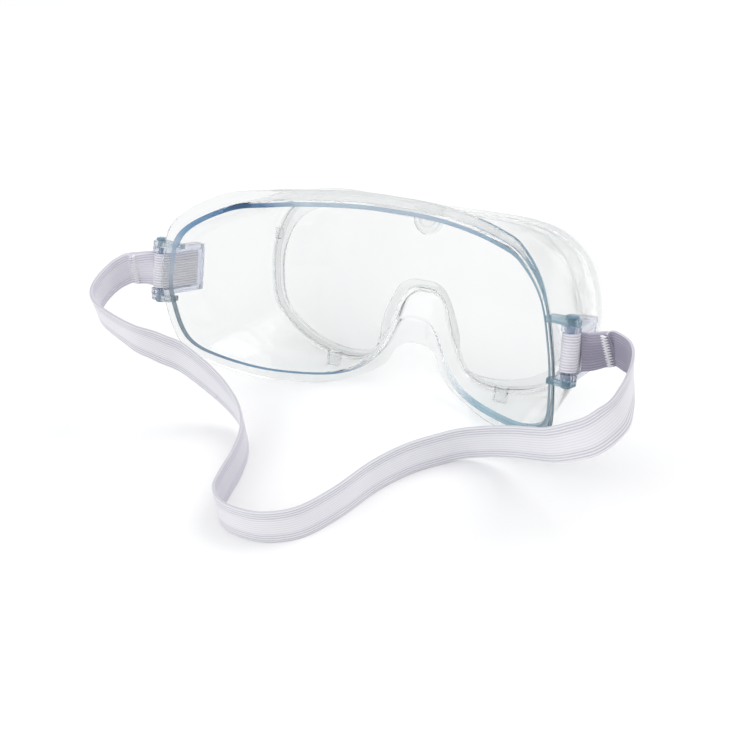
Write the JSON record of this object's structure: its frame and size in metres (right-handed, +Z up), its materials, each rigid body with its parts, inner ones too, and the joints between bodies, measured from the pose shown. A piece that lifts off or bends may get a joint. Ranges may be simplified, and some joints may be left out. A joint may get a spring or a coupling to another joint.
{
  "type": "safety goggles",
  "caption": "Clear soft-framed safety goggles with a snap-in lens, swinging temple buckles and an elastic head strap, resting on the frame's lower edge with the strap loose in front.",
  "frame": {"origin": "bottom centre of the whole object's box, on the table plane", "axes": "+X the wearer's right, +Y the way the wearer looks (the lens side), +Z up from the table"},
  "size_m": [0.2093, 0.1305, 0.0801],
  "materials": {
    "soft_clear_vinyl": "glossy, clear",
    "clear_polycarbonate": "polished, clear",
    "clear_buckle_plastic": "glossy, clear",
    "tinted_pin_plastic": "satin",
    "white_elastic": "woven, matt",
    "white_thread": "matt"
  },
  "bodies": {
    "goggles": {"frame": "soft_clear_vinyl", "lens": "clear_polycarbonate", "pivot_pin_left": "tinted_pin_plastic", "pivot_pin_right": "tinted_pin_plastic", "strap_middle": "white_elastic"},
    "left_buckle": {"buckle_left": "clear_buckle_plastic", "strap_loop_left": "white_elastic", "stitching_left": "white_thread"},
    "right_buckle": {"buckle_right": "clear_buckle_plastic", "strap_loop_right": "white_elastic", "stitching_right": "white_thread"}
  },
  "joints": [
    {"name": "left_buckle_swing", "type": "hinge", "parent": "goggles", "child": "left_buckle", "pos_m": [-0.0864, 0.00231, 0.05352], "axis": [0, 0.3843, 0.9232], "range_deg": [0, 50]},
    {"name": "right_buckle_swing", "type": "hinge", "parent": "goggles", "child": "right_buckle", "pos_m": [0.08, 0.00231, 0.05352], "axis": [0, -0.3843, -0.9232], "range_deg": [0, 50]}
  ]
}
